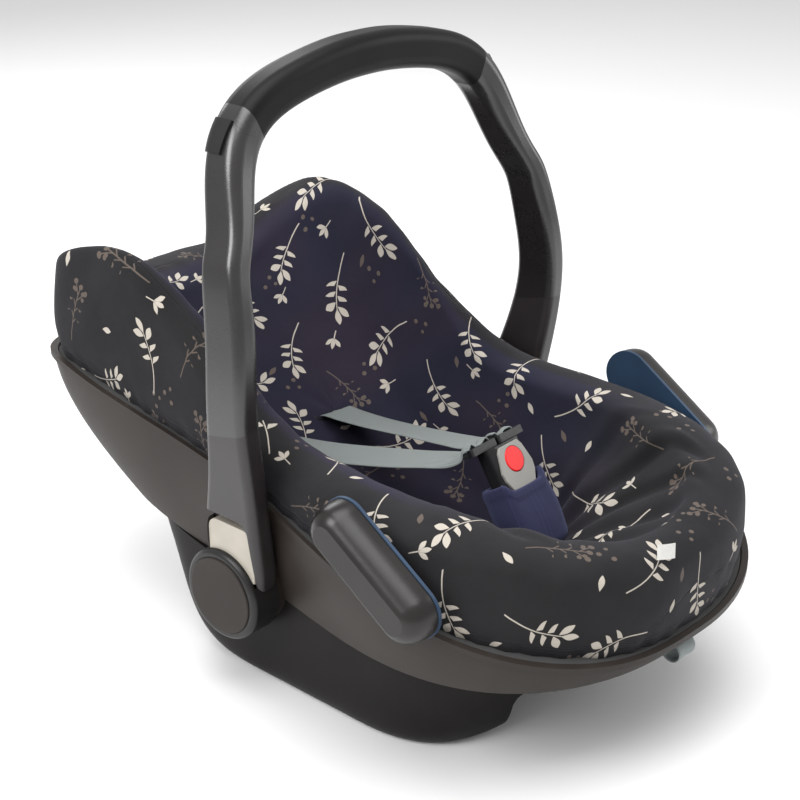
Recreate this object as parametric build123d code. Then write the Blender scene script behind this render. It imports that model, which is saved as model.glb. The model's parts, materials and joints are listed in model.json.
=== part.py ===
from build123d import *
import os
from math import cos, hypot, radians, sin

# An infant car seat with a swinging carrying handle.
# Millimetres. +X is the child's left, -Y the foot end, +Z up, and Z = 0 the floor it stands on.

# ---- driving dimensions -------------------------------------------------------------------------

# handle pivot, which the two hubs share
PIVOT_Y = 54.5
PIVOT_Z = 102.0

# rim of the shell: a plane that rises towards the head end
RIM_Z = 191.5
RIM_SLOPE = 0.205
RIM_FRONT = -319.0
RIM_REAR = 352.0
RIM_HALF_FRONT = 203.0
RIM_HALF_REAR = 178.0
LIP_OUT = 2.5
LIP_HIGH = 5.0
LIP_OVER = 0.5

# middle of the overall length: the finished seat is moved so that its origin lies under it
CENTRE_Y = 16.35

# seam between the upper shell and the base: lowest at SEAM_LOW_Y and rising both ways
SEAM_LOW_Z = 93.0
SEAM_LOW_Y = -60.0
SEAM_RISE_FRONT = 0.00036
SEAM_RISE_REAR = 0.00052
SEAM_GAP = 1.5

# the shell's side band, carried down past the seam to a sloping plane
BAND_Z = 80.0
BAND_SLOPE = 0.10
BAND_FRONT = -306.0
BAND_REAR = 190.0
BAND_HALF_FRONT = 180.0
BAND_HALF_REAR = 162.0

# wall thicknesses
SHELL_WALL = 3.0
LINING = 10.0
FOAM_FLOOR = 14.0
GAP = 0.6

# seat cavity: depths under and over the rim plane, with the ends and the half width there
CAVITY = [
    # height over the rim plane, front end, rear end, half width
    (-100.0, -60.0, 45.0, 52.0),
    (-88.0, -85.0, 92.0, 84.0),
    (-66.0, -112.0, 140.0, 100.0),
    (-38.0, -148.0, 194.0, 110.0),
    (0.0, -198.0, 246.0, 120.0),
    (60.0, -266.0, 298.0, 132.0),
    (110.0, -284.0, 322.0, 138.0),
    (210.0, -292.0, 340.0, 144.0),
]

# padded cover outside the cavity: outlines over the rim plane, and the crest it ends in
COVER = [
    # height over the rim plane, front end, rear end, half width in front and behind
    (1.0, -311.0, 347.0, 195.0, 171.0),
    (24.0, -316.0, 351.0, 195.0, 174.0),
    (50.0, -318.0, 352.0, 191.0, 172.0),
    (85.0, -312.0, 352.0, 182.0, 167.0),
    (125.0, -300.0, 349.0, 172.0, 161.0),
    (200.0, -280.0, 334.0, 158.0, 149.0),
]
CREST = [
    # profile of the crest seen from the side: Y, Z
    (-340.0, 190.0),
    (-300.0, 210.0),
    (-187.0, 229.0),
    (-90.0, 231.0),
    (6.0, 239.0),
    (54.0, 257.0),
    (112.0, 297.0),
    (180.0, 349.0),
    (247.0, 378.0),
    (300.0, 374.0),
    (335.0, 356.0),
    (362.0, 318.0),
]

# base: horizontal outlines from the seam to the floor
BASE = [
    # height, front end, rear end, half width
    (0.0, -176.0, 128.0, 166.0),
    (8.0, -185.0, 152.0, 172.0),
    (40.0, -194.0, 182.0, 174.0),
    (85.0, -204.0, 204.0, 170.0),
    (135.0, -212.0, 226.0, 166.0),
]
CHANNEL_HALF = 88.0
CHANNEL_TOP = 36.0
CHANNEL_WALL = 3.0
CHANNEL_ROUND = 10.0

# screws that hold the base to the shell: places, sizes
SCREW_PLACES = [(-132.0, -120.0), (132.0, -120.0), (-132.0, 120.0), (132.0, 120.0)]
SCREW_R = 2.0
SCREW_HEAD_R = 4.5
SCREW_LONG = 22.0
SCREW_HEAD = 3.0

# hubs, measured from the middle plane outwards
HUB_R = 44.5
HUB_INNER = 181.5
HUB_OUTER = 212.0
HUB_GAP = 0.5
CAP_R = 37.6
CAP_THICK = 3.2
PIN_R = 6.0
PIN_CLEAR = 0.05
PIN_HEAD_R = 11.0
PIN_INNER = 150.0
HANDLE_SCREW_Y = (PIVOT_Y - 22.0, PIVOT_Y + 14.0)
HANDLE_SCREW_Z = PIVOT_Z - 26.0

# handle: middle line of the right arm and the grip, with thickness across and width along Y
ARM = [
    # outwards, Y, Z, thickness, width
    (191.5, 47.0, 108.0, 20.0, 60.0),
    (195.0, 42.0, 150.0, 27.0, 69.0),
    (203.5, 34.0, 200.0, 25.0, 61.0),
    (213.5, 24.0, 258.0, 25.0, 51.0),
    (218.0, 20.0, 318.0, 25.0, 46.0),
    (210.5, 27.0, 382.0, 25.0, 44.0),
    (192.0, 42.0, 440.0, 26.0, 40.0),
    (174.0, 57.0, 488.0, 33.0, 39.0),
    (149.0, 65.0, 525.0, 37.0, 38.0),
    (104.0, 67.0, 547.0, 37.0, 38.0),
    (50.0, 67.5, 557.0, 37.0, 38.0),
    (0.0, 67.5, 560.0, 37.0, 38.0),
]
ARM_SEAM_Z = 311.0
GRIP_END_X = 150.0
TAB_LONG = 30.0
TAB_WIDE = 20.0
TAB_THICK = 3.0

# release buttons on the handle's arms
BUTTON_FRONT = 15.0
BUTTON_REAR = 72.0
BUTTON_LOW = 126.0
BUTTON_HIGH = 176.0
BUTTON_POCKET_TOP = 189.0
BUTTON_IN = 197.0
BUTTON_OUT = 205.5
BUTTON_TRAVEL = 6.0
BUTTON_CLEAR = 0.4
SPRING_Z_LOW = 120.6
SPRING_Z_HIGH = 142.6
SPRING_X = 201.25
SPRING_Y = 44.0
SPRING_R = 2.6

# belt guides over the front sides of the rim
GUIDE_LONG = 138.0
GUIDE_HIGH = 50.0
GUIDE_CENTRE = (218.0, -138.0, 203.0)
GUIDE_TILT = 34.0
GUIDE_INNER = 208.5
INSERT_THICK = 3.0

# harness
STRAP_WIDE = 38.0
STRAP_THICK = 1.8
SLOT_X = 48.0
SLOT_Y = 161.0
SLOT_Z = 165.0
SLOT_LONG = 46.0
SLOT_HIGH = 16.0
BUCKLE_Y = -110.7
BUCKLE_Z = 199.8
BUCKLE_LEAN = 32.0
BUCKLE_LONG = 58.0
BUCKLE_WIDE = 46.0
BUCKLE_THICK = 22.0
RED_R = 12.0
RED_UP = 12.0
RED_DEEP = 6.0
RED_PROUD = 0.6
WELL_BOTTOM = -2.0
PLATE_SHAPE = [
    (-13.0, 27.0), (13.0, 27.0), (17.0, 22.0), (22.0, 4.0), (21.0, -4.0),
    (11.0, -24.0), (-11.0, -24.0), (-21.0, -4.0), (-22.0, 4.0), (-17.0, 22.0),
]
PLATE_THICK = 2.4
TONGUE_X = 12.5
TONGUE_HEAD_X = 19.5
TONGUE_WIDE = 36.0
SLOT_TURN = -54.0
YOKE_DEPTH = 36.0
RED_FRONT = -BUCKLE_THICK / 2 - PLATE_THICK - RED_PROUD

COIL_WIRE = 0.8

# strap adjuster under the foot end, and its loop
ADJUSTER_FRONT = -286.0
ADJUSTER_LOW = 91.0
STRAP_LOOP = 25.0

# woven tag on the foot end: middle, two of its directions, size
TAG_CENTRE = (-49.5, -307.5, 213.5)
TAG_ALONG = (0.944, -0.24, -0.226)
TAG_OUT = (-0.174, -0.946, 0.273)
TAG_SIZE = (21.0, 13.0, 1.0)

# nodes that are made of several loose solids
GROUPS = {"base_screws", "handle_screws"}

SIDES = {"right": -1, "left": 1}

os.makedirs("parts", exist_ok=True)


# ---- shapes that several pieces share -----------------------------------------------------------

def rim_z(y, height=0.0):
    """Height of the plane that lies `height` above the rim plane."""
    return RIM_Z + RIM_SLOPE * y + height


def seam_z(y, height=0.0):
    """Height of the surface that lies `height` above the seam."""
    rise = SEAM_RISE_FRONT if y < SEAM_LOW_Y else SEAM_RISE_REAR
    return SEAM_LOW_Z + rise * (y - SEAM_LOW_Y) ** 2 + height


def side_profile(points, depth):
    """Everything between a side-view line of (y, z) points and the level z = depth."""
    line = Spline(*points)
    start = line @ 0
    end = line @ 1
    sides = Polyline((end.X, end.Y), (end.X, depth), (start.X, depth), (start.X, start.Y))
    return extrude(Plane.YZ * make_face([line, sides]), amount=260.0, both=True)


def seam_side(height, depth):
    """Everything between the seam, `height` raised, and the level z = depth."""
    return side_profile([(y, seam_z(y, height)) for y in range(-400, 401, 100)], depth)


def ramp(value, low, high):
    """0 below low, 1 above high, smooth between."""
    t = min(1.0, max(0.0, (value - low) / (high - low)))
    return t * t * (3.0 - 2.0 * t)


def outline(ends, halves, inset=0.0, front_shape=(205.0, 2.4), rear_shape=(50.0, 3.2)):
    """Half of a bucket's plan: (x, y) from the front middle to the rear middle.
    A shape is how long that end's rounding is, and how square: 2 is an ellipse."""
    front, rear = ends[0] + inset, ends[1] - inset
    front_len, front_n = min(front_shape[0], 0.48 * (rear - front)), front_shape[1]
    rear_len, rear_n = min(rear_shape[0], 0.45 * (rear - front)), rear_shape[1]
    wide_at = front + front_len
    square_at = rear - rear_len

    def half(y):
        return halves[0] + (halves[1] - halves[0]) * ramp(y, wide_at - 20.0, wide_at + 190.0) - inset

    points = []
    for step in range(6):
        angle = radians(90.0 * step / 5)
        y = wide_at - front_len * cos(angle) ** (2.0 / front_n)
        points.append((half(y) * sin(angle) ** (2.0 / front_n), y))
    for step in range(1, 3):
        y = wide_at + (square_at - wide_at) * step / 3
        points.append((half(y), y))
    for step in range(5):
        angle = radians(90.0 * step / 4)
        y = square_at + rear_len * sin(angle) ** (2.0 / rear_n)
        points.append((half(y) * cos(angle) ** (2.0 / rear_n), y))
    return points


def slice_face(points, height_at):
    """A closed face through half a plan and its mirror image, on the surface z = height_at(y)."""
    right = [Vector(x, y, height_at(y)) for x, y in points]
    left = [Vector(-x, y, height_at(y)) for x, y in reversed(points[1:-1])]
    edge = Spline(*(right + left), periodic=True)
    return Face(Wire([edge]))


def stack(slices):
    """A closed solid lofted through closed faces."""
    return Solid.make_loft([face.outer_wire() for face in slices])


# ---- shell, foam and cover ----------------------------------------------------------------------

def band(inset=0.0, floor=0.0):
    """The shell's side band, from `floor` above the seam to the rim."""
    slices = []
    for t in (0.0, 0.25, 0.5, 0.75, 1.0):
        bulge = sin(radians(90.0 * t))
        points = outline(
            (BAND_FRONT + (RIM_FRONT - BAND_FRONT) * t, BAND_REAR + (RIM_REAR - BAND_REAR) * bulge),
            (
                BAND_HALF_FRONT + (RIM_HALF_FRONT - BAND_HALF_FRONT) * bulge,
                BAND_HALF_REAR + (RIM_HALF_REAR - BAND_HALF_REAR) * bulge,
            ),
            inset,
        )
        slices.append(slice_face(points, lambda y, t=t: (BAND_Z + BAND_SLOPE * y) * (1 - t) + rim_z(y) * t))
    return stack(slices) & seam_side(floor, 500.0)


def bowl(grow=0.0, top=None):
    """The seat cavity, or the same bowl grown outwards and downwards by `grow`."""
    slices = []
    for height, front, rear, half in CAVITY:
        drop = grow if height < -60.0 else grow * max(0.0, -height) / 100.0
        if top is not None and height > top:
            break
        points = outline(
            (front - grow, rear + grow), (half + grow, half + grow), 0.0, (205.0, 2.5), (110.0, 2.8)
        )
        slices.append(slice_face(points, lambda y, level=height - drop: rim_z(y, level)))
    return stack(slices)


def rim_outline(inset=0.0):
    return outline((RIM_FRONT, RIM_REAR), (RIM_HALF_FRONT, RIM_HALF_REAR), inset)


def mound():
    """Outer form of the padded cover above the rim, up to well over the crest."""
    slices = []
    for height, front, rear, half_front, half_rear in COVER:
        points = outline((front, rear), (half_front, half_rear))
        slices.append(slice_face(points, lambda y, height=height: rim_z(y, height)))
    return stack(slices)


def under_crest():
    """Everything under the crest line."""
    return side_profile(CREST, -40.0)


def lip_ring():
    """The rounded bead round the rim."""
    outer = rim_outline(-LIP_OUT)
    inner = rim_outline(SHELL_WALL - 0.4)
    low, high = -LIP_HIGH, LIP_OVER
    bead = stack([slice_face(outer, lambda y, h=h: rim_z(y, h)) for h in (low, high)])
    return bead - stack([slice_face(inner, lambda y, h=h: rim_z(y, h)) for h in (low - 1.0, high + 1.0)])


def x_cylinder(radius, start, end, y=PIVOT_Y, z=PIVOT_Z):
    """A cylinder along X from start to end."""
    low, high = min(start, end), max(start, end)
    return Pos(low, y, z) * Rot(0, 90, 0) * Cylinder(
        radius, high - low, align=(Align.CENTER, Align.CENTER, Align.MIN)
    )


def z_cylinder(radius, low, high, x, y):
    """A standing cylinder from low to high."""
    return Pos(x, y, low) * Cylinder(radius, high - low, align=(Align.CENTER, Align.CENTER, Align.MIN))


def block(low, high):
    """A box between two corners."""
    size = [b - a for a, b in zip(low, high)]
    middle = [(a + b) / 2 for a, b in zip(low, high)]
    return Pos(*middle) * Box(*size)


def slot_place(x, depth=0.0):
    """Frame of a shoulder-strap slot: Y runs through the back's lining, away from the child."""
    lean = radians(SLOT_TURN)
    return Pos(x, SLOT_Y + depth * cos(lean), SLOT_Z + depth * sin(lean)) * Rot(SLOT_TURN, 0, 0)


def strap_passages():
    """The holes in cover and foam that the shoulder straps run through, joined behind by the yoke's."""
    holes = slot_place(0, YOKE_DEPTH) * Box(2 * SLOT_X + SLOT_LONG + 4, 12.0, SLOT_HIGH + 2)
    for side in SIDES.values():
        holes += slot_place(side * SLOT_X, YOKE_DEPTH / 2) * Box(SLOT_LONG, YOKE_DEPTH + 26, SLOT_HIGH)
    return holes


def make_shell_forms():
    """Outer and inner form of the upper shell."""
    outer = band() + bowl(LINING + FOAM_FLOOR + SHELL_WALL, 0.0)
    inner = band(SHELL_WALL, SHELL_WALL) + bowl(LINING + FOAM_FLOOR, 0.0)
    return outer, inner


def pin_holes(head):
    """Holes for both pivot pins, with room for their inner heads."""
    holes = None
    for side in SIDES.values():
        hole = x_cylinder(PIN_R + PIN_CLEAR, side * 140.0, side * 200.0)
        hole += x_cylinder(PIN_HEAD_R + head, side * 140.0, side * (PIN_INNER + 0.3))
        holes = hole if holes is None else holes + hole
    return holes


def upper_shell(outer, inner):
    shell = outer - inner + lip_ring() - pin_holes(1.0)
    for x, y in SCREW_PLACES:
        shell -= z_cylinder(SCREW_R + 0.3, 85.0, 130.0, x, y)
    return shell


def foam_liner():
    """Expanded foam between shell and cover, up to the rim."""
    fill = band(SHELL_WALL + GAP, SHELL_WALL + GAP) + bowl(LINING + FOAM_FLOOR - GAP, -20.0)
    fill &= Pos(0, 0, -GAP) * side_profile([(-400.0, rim_z(-400)), (400.0, rim_z(400))], -40.0)
    fill -= bowl(LINING + GAP)
    fill -= strap_passages()
    for side in SIDES.values():
        fill -= x_cylinder(PIN_HEAD_R + 3.0, side * 140.0, side * 190.0)
    for x, y in SCREW_PLACES:
        fill -= z_cylinder(SCREW_HEAD_R + 1.5, 85.0, seam_z(y, SHELL_WALL + SCREW_HEAD + 4.0), x, y)
    return fill


def seat_cover():
    """The padded fabric cover: lining of the bowl, wings, foot end and the outside down to the rim."""
    cover = (mound() & under_crest()) + bowl(LINING, 60.0)
    return cover - bowl() - strap_passages()


def skirt(inset, floor):
    """Filled form of the base, from `floor` up past the seam."""
    slices = []
    for height, front, rear, half in BASE:
        points = outline((front, rear), (half, half), inset, (125.0, 3.4), (70.0, 3.0))
        level = max(height, floor)
        if not slices or level > floor:
            slices.append(slice_face(points, lambda y, level=level: level))
    return stack(slices)


def lower_base(shell_outer):
    """The base under the shell: a hollow skirt on two runners with an open channel between them."""
    body = skirt(0.0, 0.0) & seam_side(-SEAM_GAP, -40.0)
    body -= skirt(SHELL_WALL, SHELL_WALL)
    long = 700.0
    tunnel = Pos(0, 0, -20) * Box(
        2 * (CHANNEL_HALF + CHANNEL_WALL), long, 2 * (CHANNEL_TOP + CHANNEL_WALL) + 40,
    )
    tunnel = tunnel & skirt(0.0, 0.0) & seam_side(-SEAM_GAP, -40.0)
    void = block((-CHANNEL_HALF, -long, -30), (CHANNEL_HALF, long, CHANNEL_TOP))
    void = fillet(void.edges().filter_by(Axis.Y).group_by(Axis.Z)[-1], CHANNEL_ROUND)
    body = body + tunnel - void
    for x, y in SCREW_PLACES:
        post = z_cylinder(6.0, SHELL_WALL - 0.5, seam_z(y, -SEAM_GAP - 0.5), x, y)
        body += post - z_cylinder(SCREW_R, 60.0, 140.0, x, y)
    return body - shell_outer - pin_holes(1.0)


def base_screws():
    screws = []
    for x, y in SCREW_PLACES:
        top = seam_z(y, SHELL_WALL + 1.4)
        shank = z_cylinder(SCREW_R - 0.05, top - SCREW_LONG, top, x, y)
        screws.append(shank + z_cylinder(SCREW_HEAD_R, top, top + SCREW_HEAD, x, y))
    return Compound(screws)


# ---- hubs and handle ----------------------------------------------------------------------------

def pivot_boss(side, shell_outer, base_outer):
    """Fixed drum on the shell that the hub turns against."""
    boss = x_cylinder(HUB_R - 3.0, side * 160.0, side * (HUB_INNER - HUB_GAP)) - shell_outer - base_outer
    boss -= x_cylinder(PIN_R + PIN_CLEAR, side * 140.0, side * 200.0)
    return max(boss.solids(), key=lambda s: s.volume)


def pivot_pin(side):
    """Shouldered steel pin: head inside the shell's wall, flange under the hub's cap."""
    shank = x_cylinder(PIN_R, side * PIN_INNER, side * 203.0)
    head = x_cylinder(PIN_HEAD_R, side * (PIN_INNER - 4.0), side * PIN_INNER)
    flange = x_cylinder(PIN_HEAD_R, side * 203.0, side * 206.0)
    return shank + head + flange


def hub_ring(side):
    """The turning hub: a drum with a rounded rim, a seat for its cap and a slot for the button."""
    drum = x_cylinder(HUB_R, side * HUB_INNER, side * HUB_OUTER)
    face = drum.faces().sort_by(Axis.X)[0 if side < 0 else -1]
    drum = fillet(face.edges(), 5.0)
    drum -= x_cylinder(CAP_R + 0.4, side * (HUB_OUTER - CAP_THICK), side * (HUB_OUTER + 5.0))
    drum -= x_cylinder(PIN_R + PIN_CLEAR, side * 150.0, side * 220.0)
    drum -= x_cylinder(PIN_HEAD_R + 0.4, side * 202.7, side * 220.0)
    for y in HANDLE_SCREW_Y:
        drum -= x_cylinder(SCREW_R + 0.1, side * 170.0, side * (HUB_INNER + 14.2), y, HANDLE_SCREW_Z)
    return drum - button_space(side)


def hub_cap(side):
    """Slightly domed round cap."""
    cap = x_cylinder(CAP_R, side * (HUB_OUTER - CAP_THICK + 0.2), side * (HUB_OUTER + 1.6))
    face = cap.faces().sort_by(Axis.X)[0 if side < 0 else -1]
    return fillet(face.edges(), 1.4)


def whole_handle():
    """Both arms and the grip in one piece, lofted through rounded sections."""
    right = [(-out, y, z, thick, wide) for out, y, z, thick, wide in ARM]
    left = [(-x, y, z, thick, wide) for x, y, z, thick, wide in reversed(right[:-1])]
    stations = right + left
    wires = []
    for index, (x, y, z, thick, wide) in enumerate(stations):
        before = stations[max(0, index - 1)]
        after = stations[min(len(stations) - 1, index + 1)]
        along = Vector(after[0] - before[0], after[1] - before[1], after[2] - before[2])
        across = Vector(0, 1, 0) - along * (along.Y / along.dot(along))
        plane = Plane(origin=(x, y, z), x_dir=across, z_dir=along)
        wires.append((plane * RectangleRounded(wide, thick, 0.34 * min(thick, wide))).wire())
    return Solid.make_loft(wires)


def button_space(side):
    """The room a release button slides in."""
    c = BUTTON_CLEAR
    low = (side * (BUTTON_IN - c), BUTTON_FRONT - c, BUTTON_LOW - BUTTON_TRAVEL - c)
    high = (side * (BUTTON_OUT + c), BUTTON_REAR + c, BUTTON_HIGH)
    space = block([min(a, b) for a, b in zip(low, high)], [max(a, b) for a, b in zip(low, high)])
    return space


def seam_plane(side):
    """Where the lower arm ends and the upper arm begins."""
    return Plane(origin=(0, 0, ARM_SEAM_Z), z_dir=(side * 0.12, 0.25, 1.0))


def grip_plane(side):
    """Where the grip ends, facing outwards."""
    return Plane(origin=(side * GRIP_END_X, 65, 527), z_dir=(side * 0.9, 0, -0.45))


def arm_pieces(handle, side):
    """Lower arm and upper arm of one side."""
    arm = split(handle, grip_plane(side), keep=Keep.TOP)
    lower = split(arm, seam_plane(side), keep=Keep.BOTTOM)
    upper = split(arm, seam_plane(side), keep=Keep.TOP)
    drum = x_cylinder(HUB_R + 0.1, side * 150.0, side * 240.0)
    lower -= drum
    pocket_out = side * 240.0
    low = (side * (BUTTON_IN - BUTTON_CLEAR), BUTTON_FRONT - BUTTON_CLEAR, 110.0)
    high = (pocket_out, BUTTON_REAR + BUTTON_CLEAR, BUTTON_POCKET_TOP)
    pocket = block([min(a, b) for a, b in zip(low, high)], [max(a, b) for a, b in zip(low, high)])
    pocket = fillet(pocket.edges().filter_by(Axis.X).group_by(Axis.Z)[-1], 12)
    lower -= pocket
    return lower, upper


def handle_grip(handle):
    grip = split(handle, grip_plane(-1), keep=Keep.BOTTOM)
    return split(grip, grip_plane(1), keep=Keep.BOTTOM)


def coil(radius, length, turns, place):
    """A compression spring standing on its place, along that place's Z."""
    path = Helix(pitch=length / turns, height=length, radius=radius)
    start = Plane(origin=path @ 0, z_dir=path % 0)
    wire = sweep(start * Circle(COIL_WIRE), path=path)
    return place * wire


def release_button(side):
    """Slider behind the hub's rim, with a blind hole from below for its spring."""
    body = block(
        (min(side * BUTTON_IN, side * BUTTON_OUT), BUTTON_FRONT, BUTTON_LOW),
        (max(side * BUTTON_IN, side * BUTTON_OUT), BUTTON_REAR, BUTTON_HIGH),
    )
    body = fillet(body.edges().filter_by(Axis.X).group_by(Axis.Z)[-1], 11)
    hole_r = SPRING_R + COIL_WIRE + 0.4
    return body - z_cylinder(hole_r, BUTTON_LOW - 1.0, SPRING_Z_HIGH + 1.4, side * SPRING_X, SPRING_Y)


def handle_tab(side, handle):
    """Small raised lens on the outer corner of the handle."""
    spot = Plane(origin=(side * 178.0, 66.0, 520.0), z_dir=(side * 0.86, 0, 0.5), x_dir=(0, 1, 0))
    lens = spot * (Box(TAB_WIDE, TAB_LONG, 10.0))
    lens = lens & handle.moved(Pos(side * 2.2, 0, 1.6))
    return lens - handle


# ---- belt guides --------------------------------------------------------------------------------

def guide_place(side, out):
    """Plane on the inner face of a belt guide: x along the guide, z outwards."""
    lean = radians(GUIDE_TILT)
    return Plane(
        origin=(side * out, GUIDE_CENTRE[1], GUIDE_CENTRE[2]),
        x_dir=(0, -cos(lean), -sin(lean)),
        z_dir=(side, 0, 0),
    )


def guide_section(place, lift, scale):
    """Rounded outline of a belt guide, `lift` above its inner face."""
    high = GUIDE_HIGH * scale
    long = GUIDE_LONG - GUIDE_HIGH * (1.0 - scale)
    return (place.offset(lift) * RectangleRounded(long, high, 0.49 * high)).wire()


def belt_guide(side, shell_outer):
    """Pillow-shaped hook over the rim that the car's lap belt runs behind."""
    place = guide_place(side, GUIDE_INNER)
    wires = []
    for lift in (0.0, 8.0, 16.0, 22.0, 26.0, 28.5):
        bulge = (1.0 - (lift / 30.0) ** 2.6) ** (1.0 / 2.6)
        wires.append(guide_section(place, lift, bulge))
    pillow = Solid.make_loft(wires)
    neck = block(
        (min(side * 190.0, side * (GUIDE_INNER + 4)), -192.0, 136.0),
        (max(side * 190.0, side * (GUIDE_INNER + 4)), -166.0, 150.0),
    )
    guide = pillow + (neck - shell_outer)
    return max(guide.solids(), key=lambda s: s.volume)


def guide_insert(side):
    """Blue plate on the inner face of a belt guide, showing along its rear edge."""
    place = guide_place(side, GUIDE_INNER - INSERT_THICK - 0.1)
    plate = Solid.make_loft([guide_section(place, lift, 1.04) for lift in (0.0, INSERT_THICK)])
    neck_room = block(
        (min(side * 190.0, side * 220.0), -193.0, 130.0), (max(side * 190.0, side * 220.0), -165.0, 151.0)
    )
    plate = plate - neck_room
    return max(plate.solids(), key=lambda s: s.volume)


# ---- harness and buckle -------------------------------------------------------------------------

def buckle_place():
    """Frame of the buckle: Z up along it, -Y out of its face."""
    return Pos(0, BUCKLE_Y, BUCKLE_Z) * Rot(-BUCKLE_LEAN, 0, 0)


def ribbon(points, thick):
    """Flat webbing through (x, y, z, width) points, its width along X."""
    wires = []
    for index, (x, y, z, width) in enumerate(points):
        before = points[max(0, index - 1)]
        after = points[min(len(points) - 1, index + 1)]
        run = hypot(after[1] - before[1], after[2] - before[2])
        up_y = -(after[2] - before[2]) / run * thick / 2
        up_z = (after[1] - before[1]) / run * thick / 2
        corners = [
            (x - width / 2, y - up_y, z - up_z),
            (x + width / 2, y - up_y, z - up_z),
            (x + width / 2, y + up_y, z + up_z),
            (x - width / 2, y + up_y, z + up_z),
        ]
        wires.append(Wire.make_polygon([Vector(*c) for c in corners], close=True))
    return Solid.make_loft(wires, ruled=True)


def strap_end(side):
    """Where a shoulder strap ends, behind its tongue's head."""
    lean = radians(BUCKLE_LEAN)
    up, back = BUCKLE_LONG / 2 + 4.0, 5.5
    y = BUCKLE_Y + up * sin(lean) + back * cos(lean)
    return side * TONGUE_HEAD_X, y, BUCKLE_Z + up * cos(lean) - back * sin(lean)


def shoulder_strap(side):
    """From the yoke in the foam, out through the back's slot and down to the buckle."""
    x, y, z = strap_end(side)
    lean = radians(SLOT_TURN)
    end = YOKE_DEPTH - 1.6
    points = [
        (side * SLOT_X, SLOT_Y + end * cos(lean), SLOT_Z + end * sin(lean), STRAP_WIDE),
        (side * SLOT_X, SLOT_Y, SLOT_Z, STRAP_WIDE),
        (side * SLOT_X, SLOT_Y - 5.0, SLOT_Z + 4.0, STRAP_WIDE),
        (side * 44.0, 128.0, 169.5, STRAP_WIDE),
        (side * 33.7, 40.0, 184.0, STRAP_WIDE - 2),
        (side * 21.0, y + 26.0, z - 14.0, STRAP_WIDE - 3),
        (x, y, z, TONGUE_WIDE - 3),
    ]
    return ribbon(points, STRAP_THICK)


def buckle_tongue(side):
    """Steel tongue with a moulded head, pushed into the top of the buckle."""
    blade = Pos(side * TONGUE_X, 0, BUCKLE_LONG / 2 - 5.0) * Box(13.0, 2.0, 18.0)
    head = Pos(side * TONGUE_HEAD_X, 0, BUCKLE_LONG / 2 + 3.8) * Box(TONGUE_WIDE, 7.0, 7.0)
    head = fillet(head.edges().filter_by(Axis.Z), 2.5)
    return buckle_place() * (blade + head)


def buckle_body():
    body = Box(BUCKLE_WIDE, BUCKLE_THICK, BUCKLE_LONG)
    body = fillet(body.edges().filter_by(Axis.Z), 8.0)
    return fillet(body.edges().group_by(Axis.Z)[0], 4.0)


def buckle_housing():
    """Buckle case with two tongue slots, a button well and a slot for the crotch strap."""
    body = buckle_body()
    for side in SIDES.values():
        body -= Pos(side * TONGUE_X, 0, BUCKLE_LONG / 2 - 4.0) * Box(13.4, 2.4, 22.0)
    well = BUCKLE_THICK / 2 + 1.0 + WELL_BOTTOM
    body -= Pos(0, WELL_BOTTOM - well / 2, RED_UP) * Rot(90, 0, 0) * Cylinder(RED_R + 0.4, well)
    body -= Pos(0, 4.5, -BUCKLE_LONG / 2) * Box(STRAP_WIDE + 0.8, 3.0, 24.0)
    return buckle_place() * body


def buckle_plate():
    """Silver shield over the buckle's face, narrower below, with a round hole."""
    face = make_face(Polyline(*PLATE_SHAPE, close=True))
    plate = extrude(Plane.XZ.offset(BUCKLE_THICK / 2 + 0.05) * face, amount=PLATE_THICK)
    plate = fillet(plate.edges().group_by(Axis.Y)[0], 1.0)
    plate -= Pos(0, -BUCKLE_THICK / 2, RED_UP) * Rot(90, 0, 0) * Cylinder(RED_R + 0.4, 20.0)
    return buckle_place() * plate


def buckle_button():
    """Round red press button."""
    knob = Pos(0, RED_FRONT, RED_UP) * Rot(-90, 0, 0) * Cylinder(
        RED_R, RED_DEEP, align=(Align.CENTER, Align.CENTER, Align.MIN)
    )
    knob = fillet(knob.edges().group_by(Axis.Y)[0], 1.2)
    return buckle_place() * knob


def buckle_spring():
    """Spring between the red button and the bottom of its well."""
    start = RED_FRONT + RED_DEEP + COIL_WIRE
    end = WELL_BOTTOM - COIL_WIRE
    place = buckle_place() * Pos(0, start, RED_UP) * Rot(-90, 0, 0)
    return coil(5.0, end - start, 2, place)


def crotch_strap():
    """Webbing from under the seat up into the buckle."""
    low = Pos(0, 4.5, -BUCKLE_LONG / 2 - 46.0) * Box(STRAP_WIDE, STRAP_THICK, 110.0)
    anchor = Pos(0, 4.5, -BUCKLE_LONG / 2 - 100.0) * Box(STRAP_WIDE + 6, 6.0, 5.0)
    return buckle_place() * (low + anchor)


def crotch_passage():
    """Hole through cover, foam and shell for the crotch strap."""
    hole = Pos(0, 4.5, -BUCKLE_LONG / 2 - 90.0) * Box(STRAP_WIDE + 8, 8.0, 80.0)
    return buckle_place() * hole


def crotch_pad():
    """Padded sleeve round the crotch strap, with a pocket that holds the lower half of the buckle."""
    pad = Pos(0, 0, -BUCKLE_LONG / 2 - 16.0) * Box(60.0, 34.0, 68.0)
    pad = fillet(pad.edges().filter_by(Axis.Z), 13.0)
    pad -= Pos(0, 0, 0.0) * Box(BUCKLE_WIDE + 0.8, BUCKLE_THICK + 0.8, BUCKLE_LONG + 0.8)
    pad -= Pos(0, -20.0, 0.0) * Box(BUCKLE_WIDE - 8.0, 40.0, BUCKLE_LONG - 10.0)
    pad -= Pos(0, 4.5, -BUCKLE_LONG / 2 - 40.0) * Box(STRAP_WIDE + 1.0, STRAP_THICK + 1.0, 130.0)
    return buckle_place() * pad


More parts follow.
